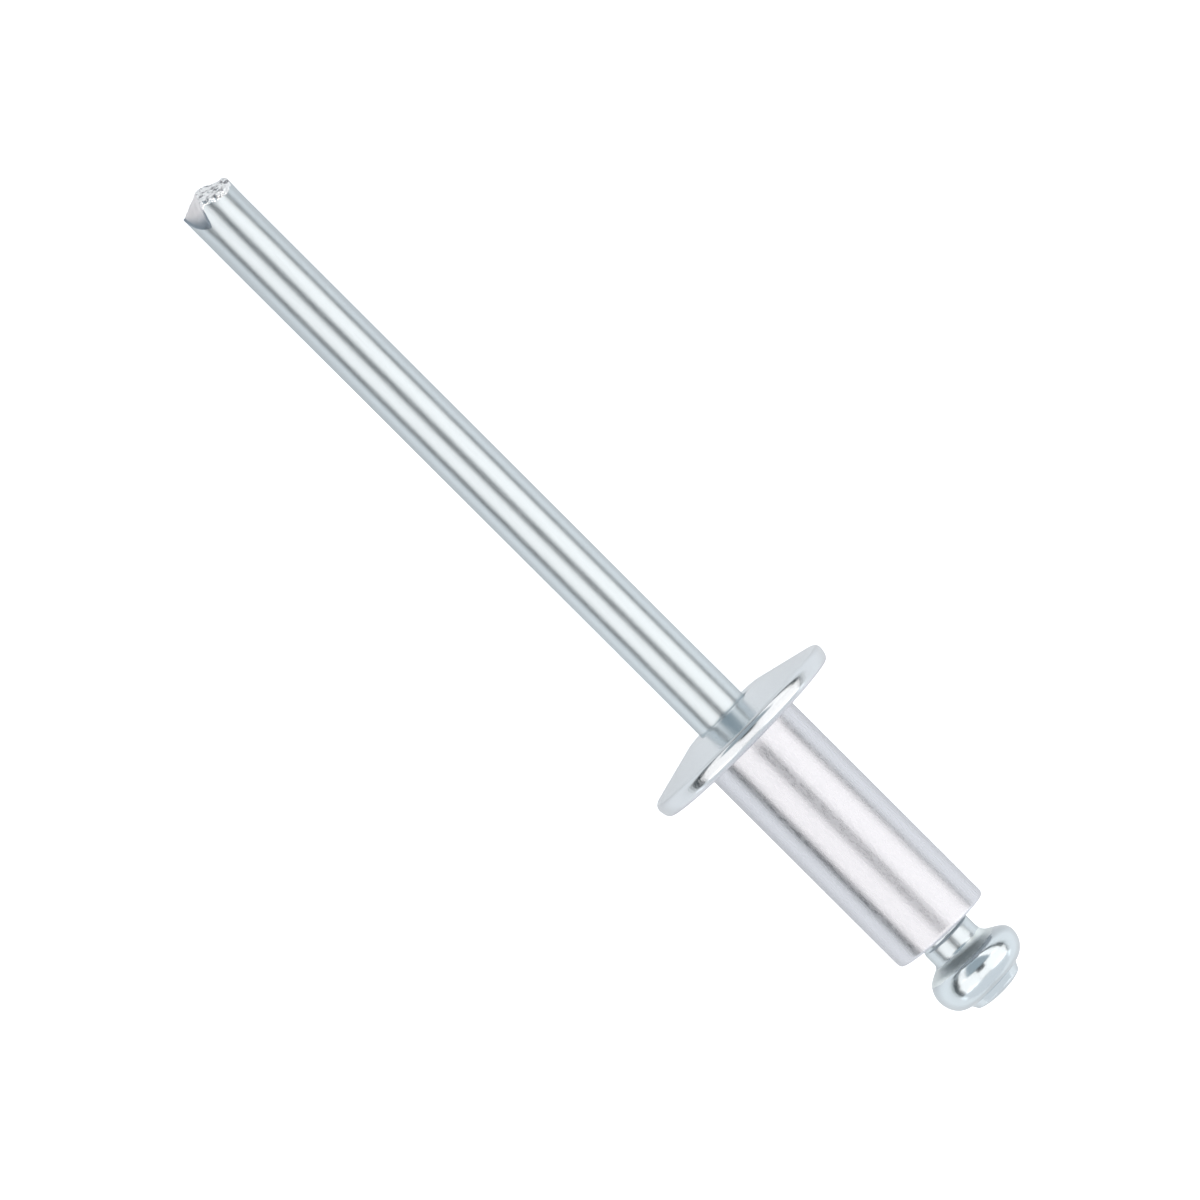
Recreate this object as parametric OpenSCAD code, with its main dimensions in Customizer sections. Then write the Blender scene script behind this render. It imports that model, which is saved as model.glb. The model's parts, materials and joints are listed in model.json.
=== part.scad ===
// Dome-head open-end blind rivet, unset, lying on a level surface.
// Both pieces are turned forms about one line. That line is +X from the mandrel's tip to its head,
// with zero at the seat under the flange, until lie_down() lays the rivet on its rim and its tip.
// Millimetres. +Z is up, and the origin is on the surface under the middle of the rivet's length.

/* [Shank] */
// Diameter of the hollow shank
shank_d = 4.86; // [4.4:0.02:5.2]
// Length of the shank from the seat to its free end
shank_l = 11.92; // [8:0.02:20]
// Rounding of the free end's outer edge
shank_end_r = 0.12; // [0.05:0.01:0.25]
// Bevel of the bore's edge at the free end
bore_bevel = 0.1; // [0.05:0.01:0.2]

/* [Flange] */
// Diameter of the flange
flange_d = 10; // [8.8:0.1:11]
// Distance from the seat to the flange's widest place
rim_x = 0.5; // [0.4:0.01:0.7]
// Depth of the rim's rounding on the seat's side
rim_seat = 0.3; // [0.2:0.01:0.4]
// Rounding of the rim on the dome's side
rim_r = 0.35; // [0.25:0.01:0.45]
// Slope of the dome from square across the line
dome_slope = 14.6; // [12:0.1:18]
// Width of the flat ring on top of the dome, from the bore's mouth to where the slope would meet it
dome_flat = 0.57; // [0.4:0.01:1]
// Rounding between the dome's slope and its flat top
dome_r = 0.5; // [0.3:0.05:1]
// Fillet between the seat and the shank
seat_fillet = 0.15; // [0.05:0.01:0.3]
// Rounding of the bore's mouth in the dome
mouth_r = 0.12; // [0.05:0.01:0.2]

/* [Mandrel stem] */
// Diameter of the stem
stem_d = 2.62; // [2.3:0.02:2.8]
// Length of the stem from the seat to the end of the tip
stem_out = 33.69; // [26:0.01:40]
// Radial gap between the stem and the bore
bore_gap = 0.16; // [0.06:0.01:0.2]
// Share of that gap by which the loose stem lies low in the bore
stem_lie = 0.5; // [0:0.05:0.9]

/* [Break notch] */
// Distance of the break notch from the shank's free end, inside the bore
notch_in = 1.4; // [1:0.1:3]
// Diameter left at the bottom of the notch
notch_d = 2.05; // [1.8:0.01:2.2]
// Width of the notch where it opens
notch_w = 0.6; // [0.4:0.05:1]

/* [Mandrel head] */
// Diameter of the neck between the notch and the head
neck_d = 2.52; // [2.25:0.01:2.6]
// Length of neck that shows between the shank and the head's shoulder
neck_out = 0.88; // [0.5:0.02:1.5]
// Diameter of the head
head_d = 4.55; // [4.2:0.01:4.7]
// Hollow fillet from the neck to the head's shoulder
shoulder_r = 0.4; // [0.2:0.05:0.6]
// Length of the head's swell ahead of its widest place, towards the shoulder
head_front = 0.96; // [0.7:0.01:1.3]
// Length of the head's swell from its widest place to the step
head_back = 1.05; // [0.8:0.01:1.3]
// Depth of the head's rounded swell
head_swell = 0.9; // [0.7:0.05:1]
// Diameter of the tapered boss on the end of the head, where it meets the step
boss_d = 2.84; // [2:0.02:3]
// Length of the boss beyond the step
boss_l = 0.55; // [0.4:0.01:0.9]
// Diameter that the boss tapers to before its round end
boss_end_d = 2.54; // [1.8:0.02:2.8]
// Length of the boss's round end
boss_end_l = 0.24; // [0.1:0.01:0.35]

/* [Tip] */
// Lean of the two facets that the cutting jaws left, from square across the stem
jaw_lean = 50; // [35:1:60]
// Turn of the jaws about the stem, from straight up and down
jaw_turn = 22; // [0:1:40]
// How far the jaws' facets pass beyond the tip on the stem's centre line
jaw_over = 0.16; // [0.05:0.01:0.4]
// How far across the centre line each jaw's facet reaches
jaw_reach = 0.15; // [0:0.05:0.4]
// Lean of the torn faces between the jaws' facets
torn_lean = 30; // [10:1:40]
// Turn of the torn faces about the stem
torn_turn = 38; // [0:1:60]
// How far the tip's end crowns over the stem's radius
tip_crown = 0.4; // [0.2:0.05:0.6]

/* [Hidden] */
$fn = 96;

// Points of an arc about a centre, from one angle to another
arc_steps = 8;
function arc(centre, radius, from, to, steps = arc_steps) =
    [for (i = [0:steps]) let (a = from + (to - from) * i / steps) centre + radius * [cos(a), sin(a)]];

// Points of an arc with unlike radii along and across the line
function swell(centre, along, across, from, to, steps = arc_steps) =
    [for (i = [0:steps]) let (a = from + (to - from) * i / steps) centre + [along * cos(a), across * sin(a)]];

shank_r = shank_d / 2;
stem_r = stem_d / 2;
bore_r = stem_r + bore_gap;
flange_r = flange_d / 2;
stem_drop = stem_lie * bore_gap;

// Places along the centre line
notch_x = shank_l - notch_in;
shoulder_x = shank_l + neck_out + shoulder_r;
shoulder_rise = neck_d / 2 + shoulder_r - head_d / 2 + head_swell;
shoulder_turn = 180 - asin(shoulder_rise / head_swell);
head_x = shoulder_x - head_front * cos(shoulder_turn);
step_x = head_x + head_back;
step_turn = asin(max(0, boss_d / 2 - head_d / 2 + head_swell) / head_swell);
head_end = step_x + boss_l;

// The dome runs straight from the rim's rounding to a rounding at its flat top
slope_foot = [-rim_x, flange_r - rim_r] + rim_r * [-cos(dome_slope), sin(dome_slope)];
slope_top_r = bore_r + mouth_r + dome_flat;
dome_h = (slope_foot[1] - slope_top_r) * tan(dome_slope) - slope_foot[0];
dome_turn = [dome_r - dome_h, slope_top_r - dome_r * tan(dome_slope / 2)];

// The stem touches the surface where its round underside ends, at a torn face or at the crown
contact_x = -stem_out + max(tip_crown, stem_r * cos(torn_turn) * tan(torn_lean));
contact_low = stem_r + stem_drop;
contact_rise = flange_r - rim_r - contact_low;
contact_run = norm([-rim_x - contact_x, contact_rise]);
lie_tilt = atan2(contact_rise, -rim_x - contact_x) + asin(rim_r / contact_run);
lie_lift = contact_low * cos(lie_tilt) - contact_x * sin(lie_tilt);
middle_x = (head_end - stem_out) / 2;

// Size of the blocks that cut the tip's facets
cutter = 4 * stem_d;

// Turn of each turned form's seam away from its lowest place
seam_turn = 2.57;

// Half of the body's section, as along and out from the centre line
body_outline = concat(
    [[shank_l, bore_r + bore_bevel]],
    arc([shank_l - shank_end_r, shank_r - shank_end_r], shank_end_r, 0, 90, 4),
    arc([seat_fillet, shank_r + seat_fillet], seat_fillet, 270, 180, 4),
    swell([-rim_x, flange_r - rim_seat], rim_x, rim_seat, 0, 90),
    arc([-rim_x, flange_r - rim_r], rim_r, 94, 180 - dome_slope, 6),
    arc(dome_turn, dome_r, 180 - dome_slope, 180, 3),
    arc([-dome_h + mouth_r, bore_r + mouth_r], mouth_r, 180, 270, 4),
    [[shank_l - bore_bevel, bore_r]]
);

// Half of the mandrel's section, before the tip is pinched off
tip_ball = (stem_r * stem_r + tip_crown * tip_crown) / (2 * tip_crown);
tip_angle = asin(stem_r / tip_ball);
mandrel_outline = concat(
    [[head_end, 0]],
    swell([head_end - boss_end_l, 0], boss_end_l, boss_end_d / 2, 15, 90, 6),
    swell([head_x, head_d / 2 - head_swell], head_back, head_swell, step_turn, 90),
    swell([head_x, head_d / 2 - head_swell], head_front, head_swell, 100, shoulder_turn),
    arc([shoulder_x - shoulder_r, neck_d / 2 + shoulder_r], shoulder_r, -10, -90),
    [
        [notch_x + notch_w / 2, neck_d / 2],
        [notch_x, notch_d / 2],
        [notch_x - notch_w / 2, stem_r]
    ],
    arc([tip_ball - stem_out, 0], tip_ball, 180 - tip_angle, 180, 6)
);

// Lays the rivet down: the tip drops until it meets the surface that the rim stands on
module lie_down() {
    translate([-middle_x * cos(lie_tilt), 0, lie_lift])
        rotate([0, -lie_tilt, 0])
            children();
}

// Turns a half section, drawn along +X and out along +Y, about the X axis
module turned(outline) {
    rotate([0, 90, 0])
        rotate([0, 0, seam_turn])
            rotate_extrude()
                polygon([for (p = outline) [p[1], p[0]]]);
}

// Block that cuts the tip to a plane facet, leaning back towards the side that turn points to
module facet(along, turn, lean, reach) {
    translate([along, 0, 0])
        rotate([turn, 0, 0])
            rotate([0, lean, 0])
                translate([-cutter, -cutter, -cutter / 2])
                    cube([cutter, cutter + reach, cutter]);
}

// The jaws' facets and the torn faces, alike on the upper and the lower side
module pinch() {
    for (side = [0, 180]) {
        rotate([side, 0, 0]) {
            facet(-stem_out - jaw_over, jaw_turn, jaw_lean, jaw_reach);
            facet(-stem_out, -torn_turn, torn_lean, cutter);
        }
    }
}

module rivet_body() {
    color([0.80, 0.81, 0.83])
        lie_down()
            turned(body_outline);
}

module mandrel() {
    color([0.72, 0.75, 0.78])
        lie_down()
            translate([0, 0, -stem_drop])
                difference() {
                    turned(mandrel_outline);
                    pinch();
                }
}

rivet_body();
mandrel();
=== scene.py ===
"""Unset dome-head blind rivet, lying on its rim and its tip on a pale floor."""
import json
import math

import bpy
from mathutils import Matrix, Vector, noise


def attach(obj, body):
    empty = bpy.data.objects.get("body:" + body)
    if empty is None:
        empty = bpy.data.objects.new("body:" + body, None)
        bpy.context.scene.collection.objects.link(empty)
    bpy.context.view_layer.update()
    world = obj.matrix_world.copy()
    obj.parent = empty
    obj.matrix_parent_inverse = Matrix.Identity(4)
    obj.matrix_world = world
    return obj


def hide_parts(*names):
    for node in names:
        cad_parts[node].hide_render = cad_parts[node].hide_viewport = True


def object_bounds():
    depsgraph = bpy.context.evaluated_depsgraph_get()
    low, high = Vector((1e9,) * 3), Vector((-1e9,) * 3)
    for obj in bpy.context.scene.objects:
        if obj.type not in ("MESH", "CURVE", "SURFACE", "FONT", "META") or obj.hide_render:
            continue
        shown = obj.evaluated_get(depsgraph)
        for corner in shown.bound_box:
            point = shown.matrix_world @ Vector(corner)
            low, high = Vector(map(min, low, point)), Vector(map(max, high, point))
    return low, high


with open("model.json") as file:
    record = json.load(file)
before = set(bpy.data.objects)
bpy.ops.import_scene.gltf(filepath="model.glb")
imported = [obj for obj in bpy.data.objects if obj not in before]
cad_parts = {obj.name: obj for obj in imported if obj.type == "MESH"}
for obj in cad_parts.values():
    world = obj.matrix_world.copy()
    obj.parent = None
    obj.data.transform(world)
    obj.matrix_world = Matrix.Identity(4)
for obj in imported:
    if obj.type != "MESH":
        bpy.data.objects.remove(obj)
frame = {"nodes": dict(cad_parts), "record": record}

cad_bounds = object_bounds()

MM = 0.001

# The rivet's own line, from the record: zero at the seat under the flange, +X towards the head
mounts = {mount["name"]: mount for mount in frame["record"]["mounts"]}
seat = Vector(mounts["flange_seat"]["pos_m"])
ahead = Vector(mounts["flange_seat"]["axis"]).normalized()
across = Vector((0, 1, 0))
upward = ahead.cross(across)
rivet_line = Matrix((
    (ahead.x, across.x, upward.x, seat.x),
    (ahead.y, across.y, upward.y, seat.y),
    (ahead.z, across.z, upward.z, seat.z),
    (0, 0, 0, 1),
))
shank_r = mounts["shank"]["dims"]["r_mm"] * MM
stem_r = mounts["mandrel_grip"]["dims"]["r_mm"] * MM


def line_reach(node):
    """Lowest and highest place of a CAD node along the rivet's line, and its widest radius about it."""
    offsets = [v.co - seat for v in frame["nodes"][node].data.vertices]
    along = [offset.dot(ahead) for offset in offsets]
    out = [(offset - ahead * a).length for offset, a in zip(offsets, along)]
    return min(along), max(along), max(out)


dome_x, shank_l, flange_r = line_reach("rivet_body")
tip_x, head_end, head_reach = line_reach("mandrel")

# Body
rim_x = -0.54 * MM
rim_seat = 0.26 * MM
rim_r = 0.31 * MM
dome_slope = 14.6
dome_r = 0.5 * MM
seat_fillet = 0.15 * MM
mouth_r = 0.12 * MM
bore_gap = 0.16 * MM
bore_r = stem_r + bore_gap
bore_bevel = 0.1 * MM
# Rounding of the free end's outer edge, across and along the line
shank_end_round = 0.1 * MM
shank_end_long = 0.24 * MM
# The free end is cut a little askew, and the flange leans a little the other way and towards the tip
end_skew = 0.043
flange_lean = -0.006
flange_nod = -0.015
lean_fade = 1.5 * MM
# Where the dome's brighter base colour, painted light on the same aluminium, and the rim's glossier finish
# start
lit_dome_x = rim_x - 0.8 * rim_r
rim_finish_x = -0.1 * MM
rim_finish_r = 2 * shank_r - rim_r

# Mandrel
# The stem lies to one side and low in the bore
stem_side = 0.82 * bore_gap
stem_drop = (seat - Vector(mounts["mandrel_grip"]["pos_m"])).dot(upward)
notch_x = shank_l - 1.4 * MM
notch_r = 1.025 * MM
notch_w = 0.6 * MM
neck_r = 1.26 * MM
# Shallow groove round the neck, just outside the shank
groove_x = shank_l + 0.17 * MM
groove_w = 0.2 * MM
groove_depth = 0.05 * MM

# Mandrel's head, from the boss on its end to the hollow shoulder
boss_r = 1.42 * MM
boss_l = 0.55 * MM
boss_end_r = 1.27 * MM
boss_end_l = 0.27 * MM
head_r = head_reach - stem_drop
head_swell = 0.9 * MM
head_front = 0.85 * MM
head_back = 1.05 * MM
step_x = head_end - boss_l
head_x = step_x - head_back
step_turn = math.degrees(math.asin((boss_r - head_r + head_swell) / head_swell))
shoulder_r = 0.45 * MM
shoulder_slope = math.radians(60)
shoulder_turn = 90 + math.degrees(math.atan(math.tan(shoulder_slope) * head_front / head_swell))
front_x = head_x + head_front * math.cos(math.radians(shoulder_turn))
front_r = head_r - head_swell + head_swell * math.sin(math.radians(shoulder_turn))
hollow_r = neck_r + shoulder_r * (1 - math.cos(shoulder_slope))
hollow_x = front_x - (front_r - hollow_r) / math.tan(shoulder_slope)
neck_end = hollow_x - shoulder_r * math.sin(shoulder_slope)
# The hollow's matt finish, with a lighter base colour painted as light against its shade, reaches a little
# way onto the swell
matt_over = 0.07 * MM
# The head sits a little aside on the stem, and its shoulder and its back lean
head_side = 0.1 * MM
shoulder_lean = 0.075
shoulder_lean_from = head_x - 1.36 * MM
shoulder_lean_full = head_x - 0.91 * MM
back_lean = -0.025

# Tip: a low crown, two torn faces, and the two facets of the cutting jaws
tip_length = 2.2 * MM
tip_crown = 0.4 * MM
torn_lean = math.radians(30)
torn_turn = math.radians(-38)
torn_grain = 0.28 * MM
torn_depth = 0.1 * MM
# The torn grain's level in the noise, and the noise's fall-off, step and number of octaves
torn_level = 0.3
torn_octaves = (0.8, 2.0, 3)
jaw_over = 0.16 * MM
jaw_lean = math.radians(50)
jaw_turn = math.radians(22)
jaw_reach = 0.2 * MM
jaw_side = 0.5 * MM
jaw_ragged = 0.12
# The jaws' facets carry painted shade: a thin dark band at their rim, darkest over a share of it, and a
# darker upper part, standing in for the dark reflections of a burr at the rim and of the facet's curve
rim_shade_width = 0.09 * MM
rim_shade_darkest = 0.4
top_shade_width = 0.7 * MM
# Rounding of the tip's upper edge, across and along the line
tip_edge_out = 0.17 * MM
tip_edge_along = 0.24 * MM
tip_edge_spread = 0.7
# Dents in the stem near the tip, drawn out along it, from a noise with a seed so that each run is alike
DENT_SEED = 1
dent_grain = 0.7 * MM
dent_stretch = 2.0
dent_depth = 0.03 * MM
dent_reach = 3.5 * MM

# Mesh steps: round each ring, along the groove, along the tip's wall, and in over its end, where they
# crowd towards the rim
SEGMENTS = 256
GROOVE_STEPS = 16
WALL_STEPS = 24
END_STEPS = 64
END_CROWDING = 1.6
SHARP_ANGLE = math.radians(32)

# Each piece's finishes, in the order of its materials
SIDE, END, LIT_DOME, RIM = range(4)
DRAWN, TORN, CUT, LIGHTENED_HOLLOW, FORMED = range(5)

# A metal's frost: the part of the noise that its roughness spans, and the noise's detail
FROST_LOW = 0.3
FROST_HIGH = 0.7
FROST_DETAIL = 2.0


def arc(centre, along, out, start, end, steps):
    """Points of an ellipse's arc as (along, out) pairs, with the angles in degrees."""
    points = []
    for i in range(steps + 1):
        a = math.radians(start + (end - start) * i / steps)
        points.append((centre[0] + along * math.cos(a), centre[1] + out * math.sin(a)))
    return points


def straight(start, end, steps):
    """Points between two places, with both left out."""
    return [
        (start[0] + (end[0] - start[0]) * i / steps, start[1] + (end[1] - start[1]) * i / steps)
        for i in range(1, steps)
    ]


def ease(value, start, end):
    """A smooth step from 0 at the start to 1 at the end."""
    share = min(max((value - start) / (end - start), 0.0), 1.0)
    return share * share * (3 - 2 * share)


def body_outline():
    """The body's half section, once round from the bore's edge at the free end."""
    points = [(shank_l - bore_bevel, bore_r), (shank_l, bore_r + bore_bevel)]
    end_turn = (shank_l - shank_end_long, shank_r - shank_end_round)
    points += arc(end_turn, shank_end_long, shank_end_round, 0, 90, 20)
    points += straight(points[-1], (seat_fillet, shank_r), 24)
    points += arc((seat_fillet, shank_r + seat_fillet), seat_fillet, seat_fillet, 270, 180, 8)
    points += arc((rim_x, flange_r - rim_seat), -rim_x, rim_seat, 0, 90, 24)
    points += arc((rim_x, flange_r - rim_r), rim_r, rim_r, 92, 180 - dome_slope, 24)
    slope = math.tan(math.radians(dome_slope))
    top_r = points[-1][1] - (points[-1][0] - dome_x) / slope
    turn = (dome_x + dome_r, top_r - dome_r * math.tan(math.radians(dome_slope / 2)))
    top = arc(turn, dome_r, dome_r, 180 - dome_slope, 180, 12)
    points += straight(points[-1], top[0], 24) + top
    points += straight(points[-1], (dome_x, bore_r + mouth_r), 8)
    points += arc((dome_x + mouth_r, bore_r + mouth_r), mouth_r, mouth_r, 180, 270, 8)
    points += straight(points[-1], points[0], 12)
    return points


def mandrel_outline():
    """The mandrel's half section from its head's end to the start of the plain stem near the tip."""
    points = arc((head_end - boss_end_l, 0.0), boss_end_l, boss_end_r, 5, 90, 24)
    middle = (head_x, head_r - head_swell)
    back = arc(middle, head_back, head_swell, step_turn, 90, 24)
    points += straight(points[-1], back[0], 6) + back
    front = arc(middle, head_front, head_swell, 95, shoulder_turn, 20)
    slope = math.degrees(shoulder_slope)
    hollow = arc((neck_end, neck_r + shoulder_r), shoulder_r, shoulder_r, slope - 90, -90, 14)
    points += front + straight(front[-1], hollow[0], 6) + hollow
    for i in range(GROOVE_STEPS + 1):
        turn = math.pi * (2 * i / GROOVE_STEPS - 1)
        depth = groove_depth * (1 + math.cos(turn)) / 2
        points.append((groove_x - groove_w * turn / math.pi, neck_r - depth))
    points += straight(points[-1], (notch_x + notch_w / 2, neck_r), 12)
    points.append((notch_x + notch_w / 2, neck_r))
    points.append((notch_x, notch_r))
    points.append((notch_x - notch_w / 2, stem_r))
    stem_end = tip_x + tip_length
    points += straight(points[-1], (stem_end, stem_r), 40)
    points.append((stem_end, stem_r))
    return points


def ring(along, out, side=0.0):
    """One ring of points about the line."""
    turn = 2 * math.pi / SEGMENTS
    return [
        (along, side + out * math.cos(turn * j), out * math.sin(turn * j))
        for j in range(SEGMENTS)
    ]


def band(first, second):
    """Faces between two rings, each given by its first point's number."""
    return [
        (first + j, first + (j + 1) % SEGMENTS, second + (j + 1) % SEGMENTS, second + j)
        for j in range(SEGMENTS)
    ]


def make_piece(name, points, faces, node, middle=(0.0, 0.0)):
    """A smooth mesh about the rivet's line, moved to its middle there, which stands for a CAD node."""
    mesh = bpy.data.meshes.new(name)
    mesh.from_pydata(points, [], faces)
    mesh.validate()
    mesh.polygons.foreach_set("use_smooth", [True] * len(mesh.polygons))
    mesh.set_sharp_from_angle(angle=SHARP_ANGLE)
    place = mesh.attributes.new("line_place", "FLOAT_VECTOR", "POINT")
    around = mesh.attributes.new("around", "FLOAT_VECTOR", "POINT")
    turn = rivet_line.to_3x3()
    for i, (x, y, z) in enumerate(points):
        place.data[i].vector = (x, y, z)
        out = math.hypot(y, z) or 1.0
        around.data[i].vector = turn @ Vector((0, -z / out, y / out))
    mesh.transform(rivet_line @ Matrix.Translation((0, *middle)))
    piece = bpy.data.objects.new(name, mesh)
    bpy.context.scene.collection.objects.link(piece)
    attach(piece, "root")
    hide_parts(node)
    return piece


def make_body():
    """The body: its half section turned about the line, with its free end and its flange leaned."""
    outline = body_outline()
    points = []
    faces = []
    for along, out in outline:
        skew = end_skew * ease(along, shank_l - lean_fade, shank_l - shank_end_long)
        at_flange = 1 - ease(along, seat_fillet, lean_fade)
        skew += flange_lean * at_flange
        nod = flange_nod * at_flange
        points += [(x + skew * y + nod * z, y, z) for x, y, z in ring(along, out)]
    for i in range(len(outline)):
        faces += band(i * SEGMENTS, (i + 1) % len(outline) * SEGMENTS)
    body = make_piece("body", points, faces, "rivet_body")
    finish = []
    for number in range(len(faces)):
        along, out = outline[number // SEGMENTS]
        if number < 2 * SEGMENTS:
            finish.append(END)
        elif along < lit_dome_x:
            finish.append(LIT_DOME)
        elif along < rim_finish_x and out > rim_finish_r:
            finish.append(RIM)
        else:
            finish.append(SIDE)
    body.data.polygons.foreach_set("material_index", finish)
    return body


def face_height(y, z, start, lean, turn):
    """Where a leaning face lies along the line, over a place in the stem's section."""
    return start + math.tan(lean) * (math.cos(turn) * z - math.sin(turn) * y)


def tip_face(y, z):
    """The tip's end over a place in the stem's section, as a place along the line, how torn, and how free of
    the jaw facet's painted shade.
    """
    ball = (stem_r ** 2 + tip_crown ** 2) / (2 * tip_crown)
    height = tip_x + ball - math.sqrt(max(ball ** 2 - y * y - z * z, 0.0))
    ragged = 0.0
    unshaded = 1.0
    for sign in (1, -1):
        sy, sz = sign * y, sign * z
        torn = face_height(sy, sz, tip_x, torn_lean, torn_turn)
        if torn > height:
            height = torn
            ragged = 1.0
    for sign in (1, -1):
        sy, sz = sign * y, sign * z
        inside = jaw_reach - sy * math.cos(jaw_turn) - sz * math.sin(jaw_turn)
        jaw = face_height(sy, sz, tip_x - jaw_over, jaw_lean, jaw_turn)
        if inside > 0 and jaw > height:
            share = ease(inside, 0.0, jaw_side)
            height += (jaw - height) * share
            ragged += (jaw_ragged - ragged) * share
            # Painted dark reflection over the jaw facet's upper part, near the stem's top
            unshaded = ease(math.sqrt(max(stem_r ** 2 - y * y, 0.0)) - z, 0.0, top_shade_width)
    grain = noise.fractal(Vector((y, z, torn_level * torn_grain)) / torn_grain, *torn_octaves)
    return height + ragged * torn_depth * grain, ragged, unshaded


def tip_point(y, z):
    """A point of the tip's end, over a place in the stem's section."""
    return (tip_face(y, z)[0] + tip_round(y, z), y, z)


def tip_round(y, z):
    """How far the tip's end falls back at its rounded edge, which is widest on top."""
    out = math.hypot(y, z)
    top = max(z / out, 0.0) if out else 0.0
    depth = min(max((out - stem_r + tip_edge_out) / tip_edge_out, 0.0), 1.0)
    return tip_edge_along * top ** tip_edge_spread * (1 - math.sqrt(1 - depth * depth))


def head_ring(along, out):
    """A ring of the mandrel, moved aside and leaned as the head is."""
    side = head_side * ease(along, notch_x, shank_l)
    lean = shoulder_lean * ease(along, shoulder_lean_from, shoulder_lean_full)
    lean *= 1 - ease(along, shoulder_lean_full, head_x)
    lean += back_lean * ease(along, head_x, step_x) * (1 - ease(along, step_x, head_end))
    return [(x + lean * (y - side), y, z) for x, y, z in ring(along, out, side)]


def dented(x, y, z):
    """A point of the mandrel, moved by the shallow dents that the jaws left near the tip."""
    share = 1 - ease(x, tip_x, tip_x + dent_reach)
    if share == 0.0:
        return (x, y, z)
    move = noise.noise_vector(Vector((x / dent_stretch, y, z)) / dent_grain) * dent_depth * share
    return (x, y + move.y, z + move.z)


def make_mandrel():
    """The mandrel: its half section turned about the stem's line, closed by the pinched tip's end."""
    outline = mandrel_outline()
    points = [(head_end, head_side, 0.0)]
    faces = []
    for along, out in outline:
        points += head_ring(along, out)
    faces += [(0, 1 + (j + 1) % SEGMENTS, 1 + j) for j in range(SEGMENTS)]
    for i in range(len(outline) - 1):
        faces += band(1 + i * SEGMENTS, 1 + (i + 1) * SEGMENTS)
    stem_end = outline[-1][0]
    last = 1 + (len(outline) - 1) * SEGMENTS
    edge = [tip_point(y, z) for x, y, z in ring(stem_end, stem_r)]
    for k in range(1, WALL_STEPS + 1):
        start = len(points)
        points += [(stem_end + (x - stem_end) * k / WALL_STEPS, y, z) for x, y, z in edge]
        faces += band(last, start)
        last = start
    end_faces = len(faces)
    for k in range(1, END_STEPS):
        start = len(points)
        share = 1 - (k / END_STEPS) ** END_CROWDING
        points += [tip_point(y * share, z * share) for x, y, z in edge]
        faces += band(last, start)
        last = start
    points.append(tip_point(0.0, 0.0))
    faces += [(last + j, last + (j + 1) % SEGMENTS, len(points) - 1) for j in range(SEGMENTS)]
    # Painted shade in a thin dark band at the jaws' rim, times the painted shade over their upper part
    unshaded = []
    for x, y, z in points:
        rim_shade = rim_shade_width * (1 + noise.noise(Vector((0, y, z)) / torn_grain))
        unshaded.append(tip_face(y, z)[2] * ease(stem_r - math.hypot(y, z), rim_shade_darkest * rim_shade, rim_shade))
    finish = []
    for number, face in enumerate(faces):
        x, y, z = points[face[0]]
        if number >= end_faces:
            finish.append(TORN if tip_face(y, z)[1] > 0.5 else CUT)
        elif x > front_x + matt_over:
            finish.append(FORMED)
        elif x > (neck_end + hollow_x) / 2:
            finish.append(LIGHTENED_HOLLOW)
        else:
            finish.append(DRAWN)
    noise.seed_set(DENT_SEED)
    points = [dented(*point) for point in points]
    middle = (-stem_side, -stem_drop)
    mandrel = make_piece("mandrel_piece", points, faces, "mandrel", middle)
    mandrel.data.polygons.foreach_set("material_index", finish)
    mandrel.data.attributes.new("cut_unshaded", "FLOAT", "POINT").data.foreach_set("value", unshaded)
    return mandrel


def make_metal(name, base_color, gloss, anisotropic, grain, grain_long, bump):
    """A metal whose gloss is drawn out round the rivet's line, with a grain drawn out along it.

    gloss is the lowest and highest roughness, and grain is the grain's size.
    """
    material = bpy.data.materials.new(name)
    material.use_nodes = True
    nodes = material.node_tree.nodes
    links = material.node_tree.links
    shader = nodes["Principled BSDF"]
    shader.inputs["Base Color"].default_value = (*base_color, 1)
    shader.inputs["Metallic"].default_value = 1.0
    shader.inputs["Anisotropic"].default_value = anisotropic
    around = nodes.new("ShaderNodeAttribute")
    around.attribute_name = "around"
    links.new(around.outputs["Vector"], shader.inputs["Tangent"])
    place = nodes.new("ShaderNodeAttribute")
    place.attribute_name = "line_place"
    stretch = nodes.new("ShaderNodeVectorMath")
    stretch.operation = "MULTIPLY"
    stretch.inputs[1].default_value = (1 / (grain * grain_long), 1 / grain, 1 / grain)
    links.new(place.outputs["Vector"], stretch.inputs[0])
    frost = nodes.new("ShaderNodeTexNoise")
    frost.inputs["Scale"].default_value = 1.0
    frost.inputs["Detail"].default_value = FROST_DETAIL
    links.new(stretch.outputs["Vector"], frost.inputs["Vector"])
    rough = nodes.new("ShaderNodeMapRange")
    rough.inputs["From Min"].default_value = FROST_LOW
    rough.inputs["From Max"].default_value = FROST_HIGH
    rough.inputs["To Min"].default_value = gloss[0]
    rough.inputs["To Max"].default_value = gloss[1]
    links.new(frost.outputs["Fac"], rough.inputs["Value"])
    links.new(rough.outputs["Result"], shader.inputs["Roughness"])
    relief = nodes.new("ShaderNodeBump")
    relief.inputs["Strength"].default_value = 1.0
    relief.inputs["Distance"].default_value = bump
    links.new(frost.outputs["Fac"], relief.inputs["Height"])
    links.new(relief.outputs["Normal"], shader.inputs["Normal"])
    return material


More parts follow.
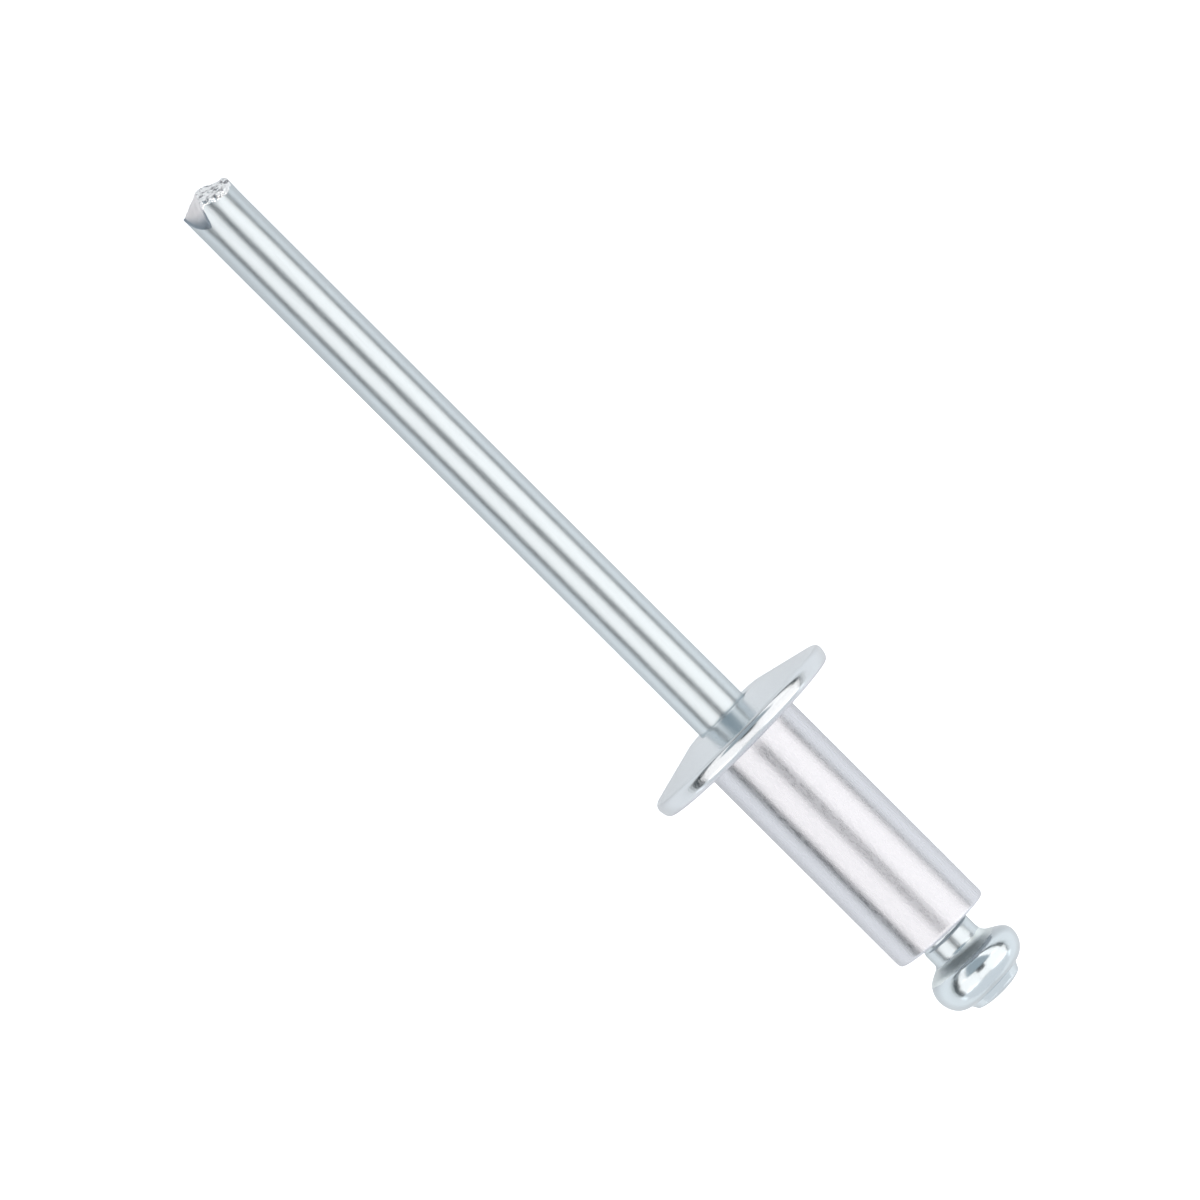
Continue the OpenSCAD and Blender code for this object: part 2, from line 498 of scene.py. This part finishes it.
def mix_base(material, value, low, high, low_color, high_color):
    """Sets a metal's base colour between two colours, by a value's place between low and high."""
    nodes = material.node_tree.nodes
    links = material.node_tree.links
    share = nodes.new("ShaderNodeMapRange")
    share.inputs["From Min"].default_value = low
    share.inputs["From Max"].default_value = high
    links.new(value, share.inputs["Value"])
    # The Mix node's colour sockets share their names with others, so they are taken by their place
    mixed = nodes.new("ShaderNodeMix")
    mixed.data_type = "RGBA"
    mixed.inputs[6].default_value = (*low_color, 1)
    mixed.inputs[7].default_value = (*high_color, 1)
    links.new(share.outputs["Result"], mixed.inputs[0])
    links.new(mixed.outputs[2], nodes["Principled BSDF"].inputs["Base Color"])


def dress_mandrel(piece):
    """Zinc-plated steel: a drawn stem, a torn and cut tip, a matt hollow shoulder lightened with painted
    light, and a formed head.
    """
    drawn = make_metal(
        "zinc_plate", base_color=(0.57, 0.63, 0.66), gloss=(0.19, 0.25), anisotropic=0.8,
        grain=0.045 * MM, grain_long=25.0, bump=0.001 * MM)
    torn = make_metal(
        "torn_steel", base_color=(0.8, 0.81, 0.82), gloss=(0.1, 0.25), anisotropic=0.0,
        grain=0.24 * MM, grain_long=1.0, bump=0.1 * MM)
    # The torn faces' base colour follows their relief: painted shade darkens its low places, the pits, and
    # its high places keep the bright steel's tone
    frost = torn.node_tree.nodes["Noise Texture"].outputs["Fac"]
    mix_base(torn, frost, low=0.34, high=0.5, low_color=(0.27, 0.28, 0.3), high_color=(0.93, 0.95, 0.96))
    cut = make_metal(
        "cut_steel", base_color=(0.84, 0.83, 0.84), gloss=(0.3, 0.42), anisotropic=0.0,
        grain=0.3 * MM, grain_long=1.0, bump=0.01 * MM)
    # The cut facets' base colour darkens to painted shade where the unshaded share is low
    unshaded = cut.node_tree.nodes.new("ShaderNodeAttribute")
    unshaded.attribute_name = "cut_unshaded"
    mix_base(
        cut, unshaded.outputs["Fac"], low=0.0, high=1.0,
        low_color=(0.27, 0.32, 0.37), high_color=(0.84, 0.83, 0.84))
    # The hollow's lighter base colour is painted light, which lifts the shade in the shoulder's hollow
    hollow = make_metal(
        "hollow_zinc_lightened", base_color=(0.76, 0.82, 0.82), gloss=(0.36, 0.46), anisotropic=0.0,
        grain=0.1 * MM, grain_long=1.0, bump=0.004 * MM)
    formed = make_metal(
        "formed_zinc", base_color=(0.59, 0.65, 0.68), gloss=(0.16, 0.22), anisotropic=0.0,
        grain=0.2 * MM, grain_long=1.0, bump=0.003 * MM)
    for material in (drawn, torn, cut, hollow, formed):
        piece.data.materials.append(material)


def dress_body(piece):
    """Aluminium: frosted on the shank, matt on its cut end, glossier on the rim, and on the dome a brighter
    copy with painted light.
    """
    side = make_metal(
        "frosted_aluminium", base_color=(0.595, 0.61, 0.645), gloss=(0.23, 0.33), anisotropic=0.0,
        grain=0.12 * MM, grain_long=3.0, bump=0.003 * MM)
    end = make_metal(
        "cut_aluminium", base_color=(0.5, 0.52, 0.55), gloss=(0.6, 0.75), anisotropic=0.0,
        grain=0.06 * MM, grain_long=1.0, bump=0.006 * MM)
    # The dome's brighter base colour is painted light: a lit copy of the body's aluminium
    lit_dome = make_metal(
        "dome_lit_aluminium", base_color=(0.70, 0.74, 0.765), gloss=(0.16, 0.26), anisotropic=0.0,
        grain=0.1 * MM, grain_long=1.5, bump=0.002 * MM)
    rim = make_metal(
        "rim_aluminium", base_color=(0.585, 0.62, 0.645), gloss=(0.14, 0.24), anisotropic=0.0,
        grain=0.1 * MM, grain_long=1.5, bump=0.0025 * MM)
    for material in (side, end, lit_dome, rim):
        piece.data.materials.append(material)


# Floor: a lit white sheet, which burns out to white in the lens
floor_size = 6.0
floor_gap = 0.00001
floor_paint = (0.59, 0.6, 0.612)
floor_glow_color = (0.98, 1, 1.02, 1)
floor_glow_seen = 0.9
# What the metal sees of it is darker close to the rivet: painted shade of the rivet in the floor's glow
floor_glow_shaded = 0.2
floor_glow = 0.5
floor_shade_from = 0.003
floor_shade_to = 0.016
# Light that the flange throws back on the floor in front of it
flange_light = 0.22
flange_light_x = seat.x - 4.5 * MM
flange_light_near = 0.001
flange_light_reach = 0.008


def make_floor():
    """The floor, just under the rivet."""
    mesh = bpy.data.meshes.new("floor")
    h = floor_size / 2
    mesh.from_pydata([(-h, -h, 0), (h, -h, 0), (h, h, 0), (-h, h, 0)], [], [(0, 1, 2, 3)])
    floor = bpy.data.objects.new("floor", mesh)
    floor.location.z = cad_bounds[0][2] - floor_gap
    bpy.context.scene.collection.objects.link(floor)
    material = bpy.data.materials.new("floor_sheet")
    material.use_nodes = True
    nodes = material.node_tree.nodes
    links = material.node_tree.links
    shader = nodes["Principled BSDF"]
    shader.inputs["Base Color"].default_value = (*floor_paint, 1)
    shader.inputs["Roughness"].default_value = 1.0
    shader.inputs["Specular IOR Level"].default_value = 0.0
    shader.inputs["Emission Color"].default_value = floor_glow_color
    geometry = nodes.new("ShaderNodeNewGeometry")
    split = nodes.new("ShaderNodeSeparateXYZ")
    links.new(geometry.outputs["Position"], split.inputs["Vector"])
    aside = nodes.new("ShaderNodeMath")
    aside.operation = "ABSOLUTE"
    links.new(split.outputs["Y"], aside.inputs[0])
    # Painted shade of the rivet: less glow close under its line, for what the metal sees
    floor_shade = nodes.new("ShaderNodeMapRange")
    floor_shade.interpolation_type = "SMOOTHSTEP"
    floor_shade.inputs["From Min"].default_value = floor_shade_from
    floor_shade.inputs["From Max"].default_value = floor_shade_to
    floor_shade.inputs["To Min"].default_value = floor_glow_shaded
    floor_shade.inputs["To Max"].default_value = floor_glow
    links.new(aside.outputs["Value"], floor_shade.inputs["Value"])
    away = nodes.new("ShaderNodeVectorMath")
    away.operation = "DISTANCE"
    away.inputs[1].default_value = (flange_light_x, 0, floor.location.z)
    links.new(geometry.outputs["Position"], away.inputs[0])
    patch = nodes.new("ShaderNodeMapRange")
    patch.interpolation_type = "SMOOTHSTEP"
    patch.inputs["From Min"].default_value = flange_light_near
    patch.inputs["From Max"].default_value = flange_light_reach
    patch.inputs["To Min"].default_value = flange_light
    patch.inputs["To Max"].default_value = 0.0
    links.new(away.outputs["Value"], patch.inputs["Value"])
    both = nodes.new("ShaderNodeMath")
    both.operation = "ADD"
    links.new(floor_shade.outputs["Result"], both.inputs[0])
    links.new(patch.outputs["Result"], both.inputs[1])
    path = nodes.new("ShaderNodeLightPath")
    glow = nodes.new("ShaderNodeMapRange")
    glow.inputs["To Max"].default_value = floor_glow_seen
    links.new(path.outputs["Is Camera Ray"], glow.inputs["Value"])
    links.new(both.outputs["Value"], glow.inputs["To Min"])
    links.new(glow.outputs["Result"], shader.inputs["Emission Strength"])
    mesh.materials.append(material)


# Studio light: a bright tent of flat panels round the rivet, open overhead for the lens and above the floor
left_glow = (1.477, 1.40, 1.363)
right_glow = (1.545, 1.47, 1.43)
tent_range = 0.30
tent_behind = -0.80
tent_ahead = 0.195
slot_left = math.radians(-11.5)
slot_right = math.radians(12)
# The tent hangs lower beside the shank than beside the stem
tent_left = math.radians(-62.5)
tent_left_low = math.radians(-66.5)
tent_left_step = 0.016
tent_right = math.radians(67.5)
tent_right_low = math.radians(77)
tent_right_step = 0.030
# Behind the camera the slot is wider, and dimly closed
rear_from = -0.07
rear_slot = math.radians(38)
rear_glow = (0.38, 0.44, 0.48)
# A high panel that closes the slot ahead of the rivet
sky_height = 1.2
slot_ahead = math.radians(1.7)
sky_ahead = math.radians(32)
# Paler walls beyond the head and behind the tip, and low strips along both sides
wall_glow = (0.86, 0.87, 0.90)
wall_x = 0.60
wall_top = 0.90
tail_glow = (0.5, 0.55, 0.58)
tail_x = -0.85
tail_foot = 0.2
tail_top = 0.3
strip_glow = (0.9, 0.9, 0.9)
strip_y = 1.0
strip_top = 0.13
# Dim light from everywhere else
dim_sky = 0.10
dim_sky_color = (0.88, 1.0, 1.08, 1)


def make_panel(name, middle, side, top, width, height, glow):
    """A flat panel that shines from its front, with its width along side and its height along top."""
    light = bpy.data.lights.new(name, "AREA")
    light.shape = "RECTANGLE"
    light.size = width
    light.size_y = height
    strength = max(glow)
    light.color = [part / strength for part in glow]
    light.energy = math.pi * width * height * strength
    back = side.cross(top)
    panel = bpy.data.objects.new(name, light)
    panel.matrix_world = Matrix((
        (side.x, top.x, back.x, middle.x),
        (side.y, top.y, back.y, middle.y),
        (side.z, top.z, back.z, middle.z),
        (0, 0, 0, 1),
    ))
    panel.visible_camera = False
    bpy.context.scene.collection.objects.link(panel)


def tent_panel(name, angle_a, angle_b, x_from, x_to, glow):
    """A panel of the tent along X, between two angles from straight up in its section."""
    a = Vector((0, math.sin(angle_a), math.cos(angle_a))) * tent_range
    b = Vector((0, math.sin(angle_b), math.cos(angle_b))) * tent_range
    middle = (a + b) / 2 + Vector(((x_from + x_to) / 2, 0, 0))
    make_panel(name, middle, Vector((1, 0, 0)), (b - a).normalized(), x_to - x_from, (b - a).length, glow)


def make_lights():
    """The tent's panels, the walls and strips round it, and the dim sky."""
    tent_panel("left_rear_panel", tent_left, -rear_slot, tent_behind, rear_from, left_glow)
    tent_panel("rear_panel", -rear_slot, rear_slot, tent_behind, rear_from, rear_glow)
    tent_panel("right_rear_panel", rear_slot, tent_right, tent_behind, rear_from, right_glow)
    tent_panel("left_panel", tent_left, slot_left, rear_from, tent_left_step, left_glow)
    tent_panel("left_low_panel", tent_left_low, slot_left, tent_left_step, tent_ahead, left_glow)
    tent_panel("right_panel", slot_right, tent_right, rear_from, tent_right_step, right_glow)
    tent_panel("right_low_panel", slot_right, tent_right_low, tent_right_step, tent_ahead, right_glow)
    x, y, z = Vector((1, 0, 0)), Vector((0, 1, 0)), Vector((0, 0, 1))
    near = sky_height * math.tan(slot_ahead)
    far = sky_height * math.tan(sky_ahead)
    left = sky_height * math.tan(slot_left)
    right = sky_height * math.tan(slot_right)
    sky_middle = Vector((seat.x + (near + far) / 2, (left + right) / 2, sky_height))
    make_panel("sky_panel", sky_middle, x, y, far - near, right - left, left_glow)
    tail_middle = Vector((tail_x, 0, (tail_foot + tail_top) / 2))
    make_panel("tail_wall", tail_middle, y, -z, 2 * strip_y, tail_top - tail_foot, tail_glow)
    make_panel("head_wall", Vector((wall_x, 0, wall_top / 2)), -y, -z, 2 * strip_y, wall_top, wall_glow)
    make_panel("left_strip", Vector((0, -strip_y, strip_top / 2)), x, z, 2 * strip_y, strip_top, strip_glow)
    make_panel("right_strip", Vector((0, strip_y, strip_top / 2)), x, -z, 2 * strip_y, strip_top, strip_glow)
    world = bpy.data.worlds.new("studio")
    world.use_nodes = True
    bpy.context.scene.world = world
    nodes = world.node_tree.nodes
    links = world.node_tree.links
    path = nodes.new("ShaderNodeLightPath")
    sky = nodes.new("ShaderNodeMapRange")
    sky.inputs["To Min"].default_value = dim_sky
    sky.inputs["To Max"].default_value = 1.0
    links.new(path.outputs["Is Camera Ray"], sky.inputs["Value"])
    links.new(sky.outputs["Result"], nodes["Background"].inputs["Strength"])
    nodes["Background"].inputs["Color"].default_value = dim_sky_color


# Camera: a long lens nearly overhead, a little towards the tip and the left side
lens = 240
sensor = 36
distance = 0.3475
roll = math.radians(44.75)
dip = math.radians(9.9)
sway = math.radians(-3.0)
aim_x = -8.82 * MM
aim_y = -0.33 * MM


def make_camera():
    """The camera, aimed at a place on the rivet's line."""
    data = bpy.data.cameras.new("camera")
    data.lens = lens
    data.sensor_width = sensor
    data.sensor_fit = "HORIZONTAL"
    data.clip_start = 0.01
    data.clip_end = 20
    camera = bpy.data.objects.new("camera", data)
    back = Vector((-math.sin(dip), math.sin(sway) * math.cos(dip), math.cos(sway) * math.cos(dip)))
    level = across.cross(back).normalized()
    aside = back.cross(level)
    right = level * math.cos(roll) + aside * math.sin(roll)
    top = aside * math.cos(roll) - level * math.sin(roll)
    place = rivet_line @ Vector((aim_x, aim_y, 0)) + back * distance
    camera.matrix_world = Matrix((
        (right.x, top.x, back.x, place.x),
        (right.y, top.y, back.y, place.y),
        (right.z, top.z, back.z, place.z),
        (0, 0, 0, 1),
    ))
    bpy.context.scene.collection.objects.link(camera)
    bpy.context.scene.camera = camera


make_camera()
make_floor()
make_lights()
dress_body(make_body())
dress_mandrel(make_mandrel())
bpy.context.scene.view_settings.view_transform = "Standard"

bpy.context.view_layer.update()
